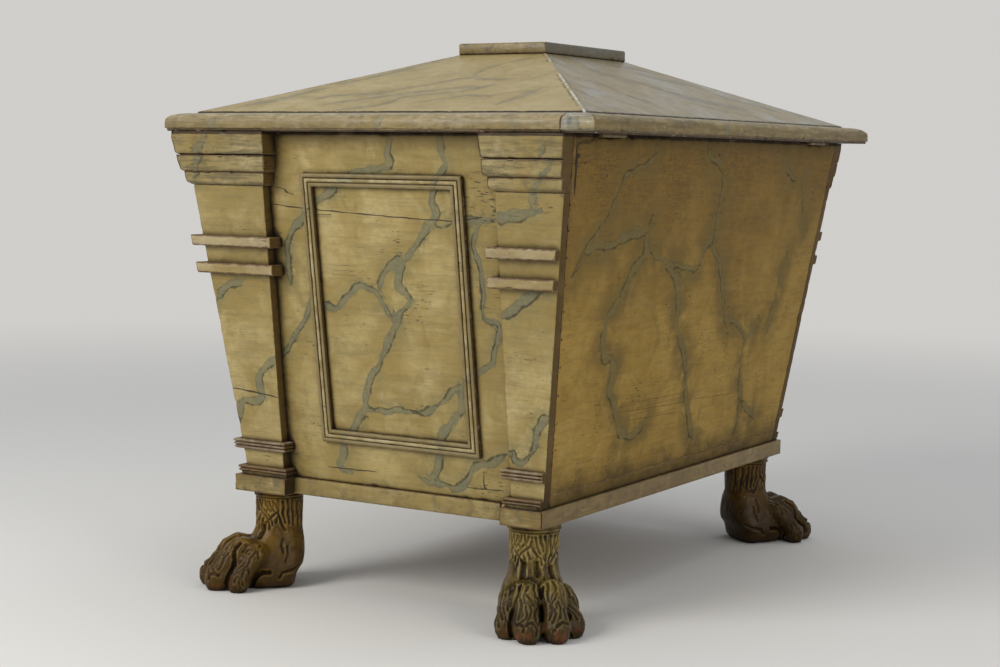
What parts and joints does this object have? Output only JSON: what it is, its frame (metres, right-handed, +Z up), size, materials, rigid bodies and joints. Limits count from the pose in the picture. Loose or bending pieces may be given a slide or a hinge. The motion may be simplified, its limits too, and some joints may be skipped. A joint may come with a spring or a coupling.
{
  "type": "cellarette",
  "caption": "Sarcophagus-shaped wine cooler: tapered case with stepped capitals and reeded panel frames, hipped hinged lid, metal liner, bottle divisions and carved lion-paw feet.",
  "frame": {"origin": "on the floor under the middle of the lid", "axes": "+X along the length towards the right end, -Y towards the decorated front, +Y towards the hinged plain back, +Z up"},
  "size_m": [0.727, 0.54, 0.6185],
  "materials": {
    "marble_paint": "straw-coloured paint veined in grey-green like marble, varnished, crazed and worn at the edges",
    "back_paint": "plainer ochre-brown veined paint, darkened",
    "lid_paint": "cream paint veined in grey, semi-gloss varnish, chipped along the hips",
    "bronzed_wood": "carved wood with a bronzed olive and ochre paint, rubbed on the knuckles",
    "bare_wood": "unpainted softwood, oiled and darkened",
    "liner_metal": "dull grey sheet metal",
    "hinge_metal": "aged brass, its knuckles painted over on the outside"
  },
  "bodies": {
    "case": {"back_board": "back_paint", "back_left_capital": "marble_paint", "back_left_lower_band": "marble_paint", "back_left_paw_foot": "bronzed_wood", "back_left_pilaster": "marble_paint", "back_left_pilaster_foot": "marble_paint", "back_left_reeded_band": "marble_paint", "back_left_upper_band": "marble_paint", "back_rail": "back_paint", "back_right_capital": "marble_paint", "back_right_lower_band": "marble_paint", "back_right_paw_foot": "bronzed_wood", "back_right_pilaster": "marble_paint", "back_right_pilaster_foot": "marble_paint", "back_right_reeded_band": "marble_paint", "back_right_upper_band": "marble_paint", "bottom_board": "bare_wood", "cross_divider_1": "bare_wood", "cross_divider_2": "bare_wood", "cross_divider_3": "bare_wood", "front_board": "marble_paint", "front_frame": "marble_paint", "front_left_capital": "marble_paint", "front_left_lower_band": "marble_paint", "front_left_paw_foot": "bronzed_wood", "front_left_pilaster": "marble_paint", "front_left_pilaster_foot": "marble_paint", "front_left_reeded_band": "marble_paint", "front_left_upper_band": "marble_paint", "front_rail": "marble_paint", "front_right_capital": "marble_paint", "front_right_lower_band": "marble_paint", "front_right_paw_foot": "bronzed_wood", "front_right_pilaster": "marble_paint", "front_right_pilaster_foot": "marble_paint", "front_right_reeded_band": "marble_paint", "front_right_upper_band": "marble_paint", "left_end_board": "marble_paint", "left_end_frame": "marble_paint", "left_end_rail": "marble_paint", "left_hinge_case_leaf": "hinge_metal", "left_hinge_pin": "hinge_metal", "liner": "liner_metal", "long_divider_1": "bare_wood", "long_divider_2": "bare_wood", "right_end_board": "marble_paint", "right_end_frame": "marble_paint", "right_end_rail": "marble_paint", "right_hinge_case_leaf": "hinge_metal", "right_hinge_pin": "hinge_metal"},
    "lid": {"left_hinge_lid_leaf": "hinge_metal", "lid_back_rail": "lid_paint", "lid_cap": "lid_paint", "lid_front_rail": "lid_paint", "lid_inner_frame": "bare_wood", "lid_left_rail": "lid_paint", "lid_right_rail": "lid_paint", "lid_slopes": "lid_paint", "right_hinge_lid_leaf": "hinge_metal"}
  },
  "joints": [
    {"name": "lid_hinge", "type": "hinge", "parent": "case", "child": "lid", "pos_m": [0, 0.23859, 0.51125], "axis": [-1, 0, 0], "range_deg": [0, 100]}
  ]
}
